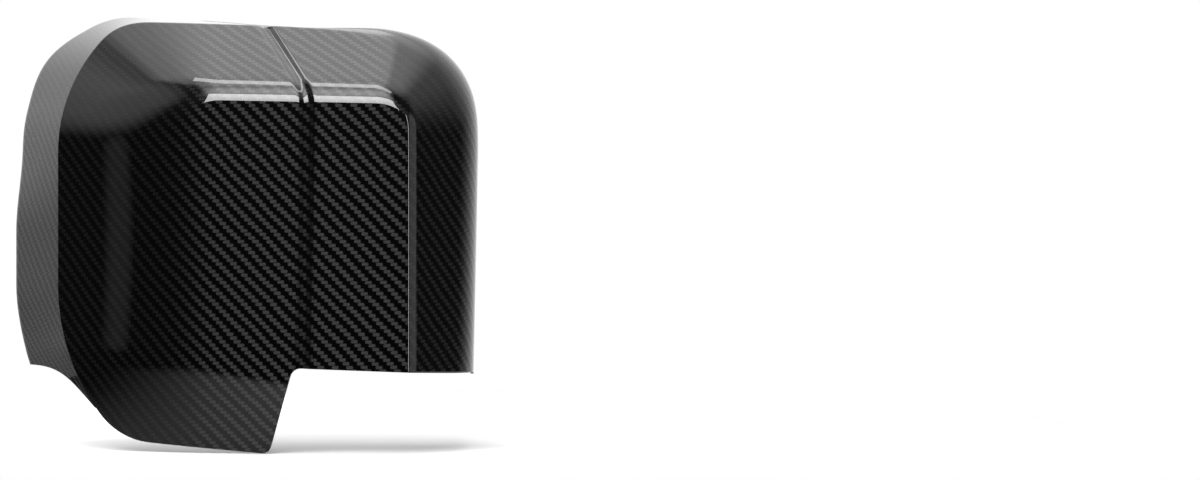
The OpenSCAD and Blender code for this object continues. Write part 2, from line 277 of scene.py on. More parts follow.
def soft_min(a, b, k):
    """The smaller of a and b, rounded where they cross."""
    return np.minimum(a, b) - np.maximum(k - np.abs(a - b), 0) ** 2 / (4 * k)


# The skin of the shell

# Fixed values of the shape, the same as in the solid part.
# The groove starts to turn this far behind the panel
GROOVE_TURN_FROM = 1.5
# Height of the crease's outer corner, and how far inwards of it the top line has its full height
OUTER_CORNER_Z = 104
TOP_LINE_FROM = 34
# The flange turns into the top wall over this angle of the upper arc, slowly at first
TURN_DEG = 61.5
TURN_POWER = 2.3
# Where the flange's upper change sets in and goes out, and where its lower change sets in
NARROW_IN_Z = 5
NARROW_IN_RUN = 50
NARROW_OUT_Z = 70
NARROW_OUT_RUN = 30
TUCK_Z = -25
TUCK_RUN = 45
# Where the top wall's slope starts to turn into the side wall's, and where the crease opens into the roll
SIDE_TURN_X = -20
SIDE_TURN_RUN = 100
ROLL_X = 28
# Rounds in which the side edge settles
SETTLE_ROUNDS = 12
# Points on each rounded corner of the trim line, more than in the solid part
CORNER_POINTS = 25


class Skin:
    """The outer face of the shell, as a depth behind the datum plane, and the lines that bound it."""

    # Slopes are measured this far to either side
    step = 0.05

    def __init__(self, s):
        self.s = s
        self.crease_r = s.crease_inner_r + s.wall
        self.upper_arc_r = s.upper_arc_x - s.crease_x
        self.trim = self.trim_points()

    def panel(self, x, z):
        """Depth of the bowed front panel."""
        s = self.s
        u = s.panel_end_x - x
        return tan(s.panel_sweep) * u + u * u / (2 * s.panel_sweep_r) + z * z / (2 * s.panel_crown_r)

    def bevels(self, x, z):
        """What the outer, top and inner bevels add to the panel's depth, with soft bends and corners."""
        s = self.s
        outer = x < s.groove_x
        to_outer = tan(s.outer_bevel_deg) * (s.outer_bevel_x - x) - self.panel(x, z)
        to_inner = tan(s.inner_bevel_deg) * (x - s.panel_end_x)
        side = np.where(outer, to_outer, to_inner)
        top = tan(s.top_bevel_deg) * (z - s.panel_top_z + s.panel_top_fall * (x - s.groove_x))
        r = np.where(outer, s.outer_round, s.inner_round)
        a = np.maximum(side + r, 0)
        b = np.maximum(top + r, 0)
        either = a + b > 0
        fall = np.where(either, np.hypot(a, b) - r, np.maximum(side, top))
        part = np.where(either, a * a / np.where(either, a * a + b * b, 1), 0.5)
        return bend(fall, mix(s.top_soft, np.where(outer, s.outer_soft, s.inner_soft), part))

    def depth(self, x, z):
        """Depth of the whole front, with the chin."""
        s = self.s
        chin = bend(tan(s.chin_deg) * (s.chin_z - s.chin_lean * x - z), s.chin_soft)
        return self.panel(x, z) + self.bevels(x, z) + chin

    def groove_side(self, p):
        """Distance from the groove's middle line, positive towards the car."""
        s = self.s
        drift = s.groove_drift * (np.minimum(p[..., 2], s.panel_top_z) - s.panel_top_z)
        back = np.maximum(p[..., 1] - self.panel(s.groove_x, 0.0) - GROOVE_TURN_FROM, 0)
        return p[..., 0] - s.groove_x - drift + tan(s.groove_yaw) * back

    def groove(self, p):
        """Depth of the parting groove."""
        s = self.s
        d = self.groove_side(p)
        width = np.where(d > 0, s.groove_steep, s.groove_gentle)
        return s.groove_deep * (1 - smooth(np.abs(d) / width))

    def outer_edge(self, z):
        """X of the crease on the outer side."""
        s = self.s
        sag = s.lower_arc_r - np.sqrt(s.lower_arc_r**2 - np.minimum(z - s.lower_arc_z, 0) ** 2)
        low = s.crease_x + sag
        high = s.upper_arc_x - np.sqrt(np.maximum(self.upper_arc_r**2 - (z - s.upper_arc_z) ** 2, 0))
        return np.where(z < s.upper_arc_z, low, high)

    def top_line(self, x):
        """Height of the straight part of the crease along the top."""
        s = self.s
        return s.top_edge_z - s.top_edge_fall * (x - self.outer_edge(OUTER_CORNER_Z) - TOP_LINE_FROM)

    def top_edge(self, x):
        """Height of the crease along the top, with both upper corners."""
        s = self.s
        line = self.top_line(x)
        arc = s.upper_arc_z + np.sqrt(np.maximum(self.upper_arc_r**2 - (x - s.upper_arc_x) ** 2, 0))
        full = np.maximum(1 - (np.maximum(x, 0) / s.side_roll_x) ** s.side_corner_power, 0)
        corner = s.side_corner_z + (line - s.side_corner_z) * full ** (1 / s.side_corner_power)
        return np.where(x < 0, soft_min(arc, line, s.top_edge_soft), corner)

    def side_edge(self, z):
        """X at which the roll into the inner side wall starts."""
        s = self.s
        # The corner ends at the top line, whose height depends on x in turn
        x = np.full_like(z, s.side_roll_x)
        for _ in range(SETTLE_ROUNDS):
            rise = np.maximum(z - s.side_corner_z, 0) / (self.top_line(x) - s.side_corner_z)
            left = np.maximum(1 - rise**s.side_corner_power, 0)
            x = s.side_roll_x * left ** (1 / s.side_corner_power)
        return x - s.side_lean * np.maximum(s.side_corner_z - z, 0)

    def trim_points(self):
        """The lower trim line: crease, chin lobe, arm notch, side wall."""
        s = self.s
        start = (float(self.outer_edge(np.array(s.trim_join_z))), s.trim_join_z)
        marks = [
            (start, 0),
            ((s.lobe_outer_x, s.lobe_outer_z), s.lobe_outer_r),
            ((s.lobe_inner_x, s.lobe_inner_z), s.lobe_inner_r),
            ((s.notch_x, s.notch_z), s.notch_r),
            ((s.side_roll_x + s.side_roll_r, s.notch_z - s.notch_fall), 0),
        ]
        line = [np.array(start)]
        for (a, _), (b, r), (c, _) in zip(marks, marks[1:], marks[2:]):
            a, b, c = np.array(a), np.array(b), np.array(c)
            u = (a - b) / np.linalg.norm(a - b)
            v = (c - b) / np.linalg.norm(c - b)
            half = math.acos(float(u @ v)) / 2
            centre = b + (u + v) / np.linalg.norm(u + v) * r / math.sin(half)
            first = b + u * r / math.tan(half) - centre
            last = b + v * r / math.tan(half) - centre
            begin = math.atan2(first[1], first[0])
            turn = (math.atan2(last[1], last[0]) - begin + 3 * math.pi) % (2 * math.pi) - math.pi
            for at in begin + turn * np.linspace(0, 1, CORNER_POINTS):
                line.append(centre + r * np.array([math.cos(at), math.sin(at)]))
        line.append(np.array(marks[-1][0]))
        return np.array(line)

    def trim_z(self, x):
        """Height of the lower trim line."""
        return np.interp(x, self.trim[:, 0], self.trim[:, 1])

    def node(self, x, z):
        """Points of the skin and their outward normals."""
        e = self.step
        y = self.depth(x, z)
        dx = (self.depth(x + e, z) - self.depth(x - e, z)) / (2 * e)
        dz = (self.depth(x, z + e) - self.depth(x, z - e)) / (2 * e)
        n = np.stack([dx, -np.ones_like(dx), dz], -1)
        return np.stack([x, y, z], -1), n / np.linalg.norm(n, axis=-1, keepdims=True)

    def direction(self, line, at, side):
        """Outward direction of an edge line, seen from the front."""
        d = (line(at + self.step) - line(at - self.step)) / (2 * self.step)
        n = {
            "outer": (-np.ones_like(d), d),
            "top": (-d, np.ones_like(d)),
            "inner": (np.ones_like(d), -d),
        }[side]
        n = np.stack(n, -1)
        return n / np.linalg.norm(n, axis=-1, keepdims=True)

    def flange_slope(self, x, z):
        """Slope of the flange, up to where it has turned into the top wall."""
        s = self.s
        up = smooth(np.degrees(np.arctan2(z - s.upper_arc_z, s.upper_arc_x - x)) / TURN_DEG)
        narrow = smooth((z - NARROW_IN_Z) / NARROW_IN_RUN)
        low = s.flange_deg + s.flange_narrow_deg * narrow * (1 - smooth((z - NARROW_OUT_Z) / NARROW_OUT_RUN))
        low = low + s.flange_tuck_deg * smooth((TUCK_Z - z) / TUCK_RUN)
        return mix(low, s.top_wall_deg, up**TURN_POWER)

    def top_slope(self, x, z):
        """Slope of the top wall, up to where it has turned into the side wall."""
        return mix(self.flange_slope(x, z), self.s.side_wall_deg, smooth((x - SIDE_TURN_X) / SIDE_TURN_RUN))

    def roll_r(self, x):
        """Radius of the bend behind the edge, from the crease's to the side roll's."""
        s = self.s
        return mix(self.crease_r, s.side_roll_r, smooth((x - ROLL_X) / (s.side_roll_x - ROLL_X)))


# The mesh of the shell

# Fixed values of the mesh, the same as in the solid part.
# Columns follow the outer side left of this X and the inner side right of it, ever closer. Rows follow
# the lower edge below this height and the upper edge above the next one
MID_X = 20
PULL_POWER = 3
LOW_FOLLOW_Z = -30
HIGH_FOLLOW_Z = 60
# The rows fan out above and below this height, above it by this power
FAN_Z = 30
FAN_POWER = 1.6
# Height at which the top row ends on the inner side
INNER_CORNER_Z = 98
# Distances from the crease, the lobe's corner, the chin line and the top edge to the mesh lines beside them
CREASE_STRIP = 4
LOBE_LEAD = 5
CHIN_BELOW = 3
CHIN_ABOVE = 10
TOP_BELOW = 1
# Steps round the bend behind the crease and up the wall, and how early the flange's foot rises
BEND_STEPS = 10
WALL_STEPS = 20
FOOT_LEAD = 4
# The scene's own: share of painted shade all over the groove, and in the line along its side towards the car
GROOVE_PAINTED_SHADE = 0.35
LINE_PAINTED_SHADE = 0.6


def spread(*marks):
    """Values from the first mark to the last, with a count of steps between each two."""
    out = []
    for start, count, end in zip(marks[::2], marks[1::2], marks[2::2]):
        out += [mix(start, end, k / count) for k in range(count)]
    return np.array(out + [marks[-1]], float)


class Mesh:
    """Nodes of the shell's outer and inner face, with the cloth's own coordinates."""

    def __init__(self, skin, detail):
        self.skin = skin
        s = skin.s
        k = detail
        self.columns = spread(
            s.crease_x, 2 * k,
            s.crease_x + CREASE_STRIP, 12 * k,
            s.lobe_inner_x - LOBE_LEAD, 8 * k,
            s.groove_x - s.groove_gentle, 5 * k,
            s.groove_x, 4 * k,
            s.groove_x + s.groove_steep, 6 * k,
            s.panel_end_x - s.inner_soft, 4 * k,
            s.panel_end_x + s.inner_soft, 4 * k,
            s.side_roll_x,
        )
        self.rows = spread(
            s.lobe_inner_z, 6 * k,
            s.chin_z - CHIN_BELOW, 4 * k,
            s.chin_z + CHIN_ABOVE, 9 * k,
            s.panel_top_z - s.top_soft, 5 * k,
            s.panel_top_z + s.top_soft, 6 * k,
            s.top_edge_z - TOP_BELOW,
        )
        self.cloth = Cloth(skin)
        self.face()
        self.band()

    def end_z(self, low_end, high_end, low_power):
        """Heights of the rows' ends on one side."""
        z, lo, hi = self.rows, self.rows[0], self.rows[-1]
        low = z + (low_end - lo) * (np.maximum(FAN_Z - z, 0) / (FAN_Z - lo)) ** low_power
        high = z - (hi - high_end) * (np.maximum(z - FAN_Z, 0) / (hi - FAN_Z)) ** FAN_POWER
        return np.where(z < FAN_Z, low, high)

    def face(self):
        """Nodes in front of the crease, in rows and columns."""
        skin, s = self.skin, self.skin.s
        c, r = self.columns, self.rows
        outer_z = self.end_z(s.trim_join_z, OUTER_CORNER_Z, low_power=2)
        inner_z = self.end_z(skin.trim_z(s.side_roll_x), INNER_CORNER_Z, low_power=1)
        outer_x, inner_x = skin.outer_edge(outer_z), skin.side_edge(inner_z)
        outer = clamp((MID_X - c) / (MID_X - s.crease_x)) ** PULL_POWER
        inner = clamp((c - MID_X) / (s.side_roll_x - MID_X)) ** PULL_POWER
        follow = smooth(np.where(c < s.groove_x, (c - s.crease_x) / (s.groove_x - s.crease_x),
                                 (s.side_roll_x - c) / (s.side_roll_x - s.groove_x)))
        rise = tan(s.top_bevel_deg) * np.maximum(r - s.panel_top_z, 0)
        drift = s.groove_drift * (np.minimum(r, s.panel_top_z) - s.panel_top_z)
        x = (c[None] + np.outer(outer_x - s.crease_x, outer) + np.outer(inner_x - s.side_roll_x, inner)
             + np.outer(drift - tan(s.groove_yaw) * rise, follow))
        z = r[:, None] + np.outer(outer_z - r, outer) + np.outer(inner_z - r, inner)
        up = clamp((r - HIGH_FOLLOW_Z) / (r[-1] - HIGH_FOLLOW_Z)) ** 2
        down = clamp((LOW_FOLLOW_Z - r) / (LOW_FOLLOW_Z - r[0]))
        z = z + np.outer(up, skin.top_edge(x[-1]) - z[-1]) + np.outer(down, skin.trim_z(x[0]) - z[0])
        self.follow, self.outer_z = follow, outer_z
        self.face_p, self.face_n = skin.node(x, z)
        self.face_uv = self.cloth.at(x, z)

    def band_nodes(self, q, direction, r, slope, level):
        """One line of nodes of the bend or wall behind the crease, their normals and cloth coordinates."""
        skin, s = self.skin, self.skin.s
        e = skin.step
        y = skin.depth(q[:, 0], q[:, 1])
        b = q - direction * e
        start = np.degrees(np.arctan((y - skin.depth(b[:, 0], b[:, 1])) / e))
        deg = slope if level > BEND_STEPS else mix(start, slope, level / BEND_STEPS)
        angle_now = np.broadcast_to(np.radians(deg), y.shape)
        start = np.radians(start)
        sine, cosine = np.sin(angle_now), np.cos(angle_now)
        out = r * (sine - np.sin(start))
        back = y + r * (np.cos(start) - cosine)
        t = max(level - BEND_STEPS, 0) / WALL_STEPS
        reach = out + (s.depth - back) * t / tan(slope)
        p = q + direction * reach[:, None]
        points = np.stack([p[:, 0], mix(back, s.depth, t), p[:, 1]], -1)
        normals = np.stack([direction[:, 0] * sine, -cosine, direction[:, 1] * sine], -1)
        run = r * (angle_now - start) + (s.depth - back) * t / np.sin(np.radians(slope))
        return points, normals, self.cloth.at(q[:, 0], q[:, 1]) + direction * run[:, None]

    def band(self):
        """Nodes behind the crease by level, up the outer side, along the top and down the inner side."""
        skin, s = self.skin, self.skin.s
        top_x = self.face_p[-1, 1:-1, 0]
        side_z = self.face_p[::-1, -1, 2]
        oz = self.outer_z
        pieces = []
        for level in range(1, BEND_STEPS + WALL_STEPS + 1):
            t = max(level - BEND_STEPS, 0) / WALL_STEPS
            foot = mix(s.trim_flange_z, s.trim_join_z, (1 - t) / (1 + FOOT_LEAD * t))
            z = foot + (oz - s.trim_join_z) * (oz[-1] - foot) / (oz[-1] - s.trim_join_z)
            x = skin.outer_edge(z)
            outer = self.band_nodes(np.stack([x, z], -1), skin.direction(skin.outer_edge, z, "outer"),
                                    skin.crease_r, skin.flange_slope(x, z), level)
            back = (s.depth - skin.depth(top_x, skin.top_edge(top_x))) * t
            x = top_x - tan(s.groove_yaw) * back * self.follow[1:-1]
            z = skin.top_edge(x)
            top = self.band_nodes(np.stack([x, z], -1), skin.direction(skin.top_edge, x, "top"),
                                  skin.roll_r(x), skin.top_slope(x, z), level)
            low = smooth((s.side_corner_z - side_z) / (s.side_corner_z - skin.trim_z(s.side_roll_x)))
            z = side_z - s.side_drop * t * low
            x = skin.side_edge(z)
            side = self.band_nodes(np.stack([x, z], -1), skin.direction(skin.side_edge, z, "inner"),
                                   skin.roll_r(x), s.side_wall_deg, level)
            pieces.append([np.concatenate(parts) for parts in zip(outer, top, side)])
        self.band_p, self.band_n, self.band_uv = (np.stack(parts) for parts in zip(*pieces))

    def build(self):
        """Vertices, quads, cloth coordinates, the cut edge's loop, the count of outer nodes, shares of
        painted groove shade.

        Quads come as outer face, inner face and cut edge. Their corners are in the order of the solid part's
        polyhedron, clockwise seen from outside.
        """
        s = self.skin.s
        rows, cols = self.face_p.shape[:2]
        levels, stations = self.band_p.shape[:2]
        p = np.concatenate([self.face_p.reshape(-1, 3), self.band_p.reshape(-1, 3)])
        n = np.concatenate([self.face_n.reshape(-1, 3), self.band_n.reshape(-1, 3)])
        uv = np.concatenate([self.face_uv.reshape(-1, 2), self.band_uv.reshape(-1, 2)])
        count = len(p)
        # On the rim the wall is measured in the rim's plane, so that its end stays flat
        flat = n.copy()
        flat[:, 1] = 0
        flat /= np.maximum((flat**2).sum(1), 1e-6)[:, None]
        lean = np.where((np.arange(count) >= count - stations)[:, None], flat, n)
        sink = self.skin.groove(p)[:, None]
        # Painted shade darkens the groove, most of all in a line along its steep side towards the car
        line = 1 - smooth(np.abs(self.skin.groove_side(p) - s.shade_line) / s.shade_line_half)
        groove_shade = clamp(GROOVE_PAINTED_SHADE * sink[:, 0] / s.groove_deep + LINE_PAINTED_SHADE * line)
        verts = np.concatenate([p - lean * sink, p - lean * (sink + s.wall)])
        grid = np.arange(rows * cols).reshape(rows, cols)
        ring = np.concatenate([grid[:, 0], grid[-1, 1:-1], grid[::-1, -1]])
        behind = rows * cols + np.arange(levels * stations).reshape(levels, stations)
        bands = np.concatenate([ring[None], behind])
        faces = []
        for g in (grid, bands):
            faces.append(np.stack([g[:-1, :-1], g[1:, :-1], g[1:, 1:], g[:-1, 1:]], -1).reshape(-1, 4))
        outside = np.concatenate(faces)
        inside = outside[:, ::-1] + count
        loop = np.concatenate([grid[0, :-1], bands[:-1, -1], bands[-1, :0:-1], bands[:0:-1, 0]])
        after = np.roll(loop, -1)
        edge = np.stack([loop, after, after + count, loop + count], -1)
        uv = np.concatenate([uv, uv])
        groove_shade = np.concatenate([groove_shade, 0 * groove_shade])
        return verts, (outside, inside, edge), uv, loop, count, groove_shade


class Cloth:
    """The cloth's own coordinates: distances along the skin from the datum lines, across and up."""

    # The grid on which the distances are summed
    pitch = 1.0
    reach_x = (-125, 135)
    reach_z = (-130, 135)

    def __init__(self, skin):
        self.x = np.arange(*self.reach_x, self.pitch)
        self.z = np.arange(*self.reach_z, self.pitch)
        x, z = np.meshgrid(self.x, self.z)
        y = skin.depth(x, z)
        along = np.hypot(np.diff(y, axis=1), self.pitch).cumsum(1)
        up = np.hypot(np.diff(y, axis=0), self.pitch).cumsum(0)
        self.u = np.pad(along, ((0, 0), (1, 0)))
        self.v = np.pad(up, ((1, 0), (0, 0)))
        self.u -= self.u[:, [int(np.argmin(abs(self.x)))]]
        self.v -= self.v[[int(np.argmin(abs(self.z)))], :]

    def at(self, x, z):
        """Cloth coordinates at points seen from the front."""
        fx = (np.asarray(x) - self.x[0]) / self.pitch
        fz = (np.asarray(z) - self.z[0]) / self.pitch
        i = np.clip(fx.astype(int), 0, len(self.x) - 2)
        j = np.clip(fz.astype(int), 0, len(self.z) - 2)
        a, b = fx - i, fz - j
        out = []
        for g in (self.u, self.v):
            low = g[j, i] * (1 - a) + g[j, i + 1] * a
            high = g[j + 1, i] * (1 - a) + g[j + 1, i + 1] * a
            out.append(low * (1 - b) + high * b)
        return np.stack(out, -1)


# Materials

# Streaks of fibres side by side on one tow, 0.2 mm each, because real fibres of 0.007 mm can't show
STREAKS = 10.0
# How far the tows of a draped cloth wander, in millimetres, and how often to the millimetre
WANDER = 1.2
WANDER_SCALE = 0.05
# Grains of the sanded edge, to the metre
GRAIN = 2500.0


def principled(name):
    """A new material with a Principled shader, and its node tree."""
    material = bpy.data.materials.new(name)
    material.use_nodes = True
    return material, material.node_tree, material.node_tree.nodes["Principled BSDF"]


def twill(tree, tow, weft_painted_sheen, warp, resin_and_groove_shade):
    """2x2 twill: colour, height, which tow is on top, and a streak along the fibres.

    The cloth's coordinates are in millimetres. Each tow passes over two and under two, one step on in each
    row.
    """

    def calc(operation, *values):
        return add(tree, "ShaderNodeMath", values, operation=operation)

    def noise(at, scale, detail):
        inputs = {"Vector": at, "Scale": scale, "Detail": detail}
        return add(tree, "ShaderNodeTexNoise", inputs, noise_dimensions="2D")

    uv = add(tree, "ShaderNodeUVMap", uv_map="cloth")
    wander = noise(uv, WANDER_SCALE, 1.0).outputs["Color"]
    drift = add(tree, "ShaderNodeVectorMath", (wander, (0.5, 0.5, 0.5)), operation="SUBTRACT")
    drift = add(tree, "ShaderNodeVectorMath", {0: drift, "Scale": WANDER}, operation="SCALE")
    placed = add(tree, "ShaderNodeVectorMath", (uv, drift), operation="ADD")
    scaled = add(tree, "ShaderNodeVectorMath", {0: placed, "Scale": 1 / tow}, operation="SCALE")
    parts = add(tree, "ShaderNodeSeparateXYZ", (scaled,))
    u, v = parts.outputs[0], parts.outputs[1]
    i, j = calc("FLOOR", u), calc("FLOOR", v)
    fu, fv = calc("SUBTRACT", u, i), calc("SUBTRACT", v, j)
    turn = calc("FLOORED_MODULO", calc("ADD", i, j), 4.0)
    across = calc("LESS_THAN", turn, 1.5)
    step = calc("FLOORED_MODULO", turn, 2.0)
    # Place along the float and across the tow, whichever way the top tow runs
    along = add(tree, "ShaderNodeMix", {"Factor": across, 2: fv, 3: fu}, data_type="FLOAT")
    beside = add(tree, "ShaderNodeMix", {"Factor": across, 2: fu, 3: fv}, data_type="FLOAT")
    along = calc("MULTIPLY", calc("ADD", step, along), 0.5)
    arch = calc("SINE", calc("MULTIPLY", along, math.pi))
    crown = calc("SINE", calc("MULTIPLY", beside, math.pi))
    height = calc("MULTIPLY", calc("POWER", arch, 0.5), calc("POWER", crown, 0.5))
    # Fine streaks along whichever tow is on top
    weft_lay = add(tree, "ShaderNodeCombineXYZ", (u, calc("MULTIPLY", v, STREAKS), 0.0))
    warp_lay = add(tree, "ShaderNodeCombineXYZ", (calc("MULTIPLY", u, STREAKS), v, 0.0))
    lay = add(tree, "ShaderNodeMix", {"Factor": across, 4: warp_lay, 5: weft_lay}, data_type="VECTOR")
    streak = noise(lay.outputs[1], 1.0, 2.0)
    # Weft blocks lighter than warp blocks: painted sheen of the tows across, which catch the light overhead
    tone = blend(tree, across, linear(warp), linear(weft_painted_sheen))
    # Resin shows between fibres and in the gaps between tows; the groove is darkened towards the resin's
    # colour as painted shade
    between = add(tree, "ShaderNodeMapRange", (streak, 0.3, 0.7, 0.0, 0.35))
    gap = add(tree, "ShaderNodeMapRange", (height, 0.15, 0.55, 1.0, 0.0))
    groove_shade = add(tree, "ShaderNodeAttribute", attribute_name="painted_groove_shade").outputs["Fac"]
    for amount in (between, gap, groove_shade):
        tone = blend(tree, amount, tone, linear(resin_and_groove_shade))
    return tone, height, across, streak


def coated_carbon(looks):
    """Twill 3K carbon fibre in epoxy, moulded, clear-coated and polished.

    The tows shine along one way only, and the weft is painted lighter than the warp as painted sheen, so that
    the cloth shows as light and dark blocks; a hard, smooth coat over them gives sharp reflections.
    """
    material, tree, shader = principled("carbon_twill_clear_coated")
    colour, height, across, streak = twill(tree, looks.tow, looks.weft_painted_sheen, looks.warp, looks.resin_and_groove_shade)
    quarter = add(tree, "ShaderNodeMath", (across, 0.25), operation="MULTIPLY")
    tangent = add(tree, "ShaderNodeTangent", direction_type="UV_MAP", uv_map="cloth")
    # Tows under a flat coat stand 0.05 mm proud at most
    bump = add(tree, "ShaderNodeBump", {"Strength": 0.35, "Distance": 0.00005, "Height": height})
    rough = add(tree, "ShaderNodeMapRange", (streak, 0.2, 0.8, 0.7, 0.8))
    put(tree, shader, {
        "Base Color": colour, "Roughness": rough, "Normal": bump,
        "Metallic": 1.0, "IOR": 1.6,
        "Anisotropic": 1.0, "Anisotropic Rotation": quarter, "Tangent": tangent,
        "Coat Weight": 1.0, "Coat IOR": 1.5, "Coat Roughness": looks.coat_rough,
    })
    return material


def bag_side_carbon(looks):
    """The laminate's bag side: the same cloth under a thin satin film of epoxy that follows the tows."""
    material, tree, shader = principled("carbon_twill_bag_side")
    # Its weft blocks take the back colour, lighter than the warp: painted sheen, as on the coated side
    colour, height, _, streak = twill(tree, looks.tow, looks.back, looks.warp, looks.resin_and_groove_shade)
    bump = add(tree, "ShaderNodeBump", {"Strength": 0.6, "Distance": 0.00012, "Height": height})
    rough = add(tree, "ShaderNodeMapRange", (streak, 0.2, 0.8, 0.4, 0.55))
    put(tree, shader, {"Base Color": colour, "Roughness": rough, "Normal": bump, "IOR": 1.55})
    return material


def trimmed_edge(looks):
    """The cut edge of the laminate, sanded: dull and black, with a fine grain."""
    material, tree, shader = principled("carbon_laminate_sanded_edge")
    where = add(tree, "ShaderNodeTexCoord")
    grit = add(tree, "ShaderNodeTexNoise", {"Vector": where.outputs["Object"], "Scale": GRAIN, "Detail": 3.0})
    tone = blend(tree, grit, linear(looks.resin_and_groove_shade), linear(looks.back))
    put(tree, shader, {"Base Color": tone, "Roughness": 0.55, "IOR": 1.55})
    return material


# The studio

# The photograph's frame, in pixels: its width, and how far its middle lies right of the part's datum line.
# The camera's aim settles in a few rounds
FRAME_PX = 1200
AIM_PX = 352
AIM_ROUNDS = 8
# The paper, in metres: its edges, its gap under the part, and how far in from the left and near edges it
# fades into shade. Its light share is how much of its paleness the part's coat shows beyond the fade
FLOOR_X = (-0.2, 0.52)
FLOOR_Y = (-0.2, 0.9)
FLOOR_GAP = 0.0002
FADE_LEFT = 0.24
FADE_NEAR = 0.1
LIGHT_SHARE = 0.65
# Lamps, aimed at the part: name, place and size in metres, power in watts
LAMPS = (
    ("front_soft_box", (-0.68, -2.25, 1.55), (2.0, 1.25), 96.0),
    ("overhead_strip", (-0.27, -0.4, 2.44), (2.04, 0.34), 13.0),
    ("right_strip", (0.95, -2.2, 0.3), (0.16, 1.6), 9.0),
)
# What light the dark room gives back, and its lit sides as the part sees them: direction, cosine at the edge
# and at the core, radiance
ROOM_LEVEL = 0.03
LIT_SIDES = (
    ((-0.22, 0.17, 0.96), 0.89, 0.94, 1.15),  # diffuser overhead
    ((0.1, 0.17, 0.98), 0.8, 0.97, 1.2),  # its right half, fading to the right
    ((-0.17, -0.36, 0.917), 0.9, 0.985, 2.4),  # upper part of the front soft box, dimmer
    ((-0.22, -0.62, 0.75), 0.9, 0.985, 4.0),  # its middle
    ((-0.1, 0.62, 0.78), 0.95, 0.99, 2.2),  # window high behind the part
    ((0.05, 0.8, 0.6), 0.2, 0.95, 1.15),  # pale wall behind it
    ((-0.88, -0.05, 0.47), 0.9, 0.99, 0.8),  # reflector on the left
    ((-0.985, -0.17, 0.0), 0.994, 0.9995, 0.2),  # gap between dark screens on the left
    ((0.88, 0.1, 0.46), 0.9, 1.0, 0.15),  # reflector on the right
    ((0.85, -0.52, 0.05), 0.86, 0.93, 0.85),  # edge of the right reflector beside the camera
)


# Operators


class MIRROR_OT_shell(bpy.types.Operator):
    """Build the moulded shell, with its cloth, coat and cut edges"""

    bl_idname = "mirror_cover.shell"
    bl_label = "Shell"

    def execute(self, context):
        s = in_mm(context.scene.shell_sizes)
        looks = in_mm(context.scene.cloth_looks)
        verts, groups, uv, loop, count, groove_shade = Mesh(Skin(s), s.detail).build()
        # The finer mesh could pass the solid's box by microns, and is kept inside it
        verts -= (verts.min(0) + verts.max(0)) / 2
        low, high = (np.array(corner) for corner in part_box(NODE))
        verts = np.clip(verts * MM, low, high)
        faces = np.concatenate(groups)
        mesh = bpy.data.meshes.new("shell")
        mesh.from_pydata(verts.tolist(), [], faces.tolist())
        for make in (coated_carbon, bag_side_carbon, trimmed_edge):
            mesh.materials.append(make(looks))
        kinds = np.repeat([0, 1, 2], [len(g) for g in groups])
        mesh.polygons.foreach_set("material_index", kinds.astype(np.int32))
        layer = mesh.uv_layers.new(name="cloth")
        corners = np.empty(len(mesh.loops), np.int32)
        mesh.loops.foreach_get("vertex_index", corners)
        layer.data.foreach_set("uv", uv[corners].astype(np.float32).ravel())
        # Painted shade of the groove, which darkens the cloth's colour there
        resin_and_groove_shade = mesh.attributes.new("painted_groove_shade", "FLOAT", "POINT")
        resin_and_groove_shade.data.foreach_set("value", groove_shade.astype(np.float32))
        # The coated side's edge is rounded fully, the bag side's only broken
        cut = {}
        for a, b in zip(loop, np.roll(loop, -1)):
            for lift, round_share in ((0, 1.0), (count, 0.25)):
                cut[frozenset((int(a) + lift, int(b) + lift))] = round_share
        weight = mesh.attributes.new("bevel_weight_edge", "FLOAT", "EDGE")
        weight.data.foreach_set("value", [cut.get(frozenset(e.vertices), 0.0) for e in mesh.edges])
        mesh.shade_smooth()
        shell = bpy.data.objects.new("shell", mesh)
        context.scene.collection.objects.link(shell)
        edge = shell.modifiers.new("sanded_edges", "BEVEL")
        edge.limit_method = "WEIGHT"
        edge.width = s.edge_round * MM
        edge.segments = 4
        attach(shell, BODY)
        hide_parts(NODE)
        return {"FINISHED"}


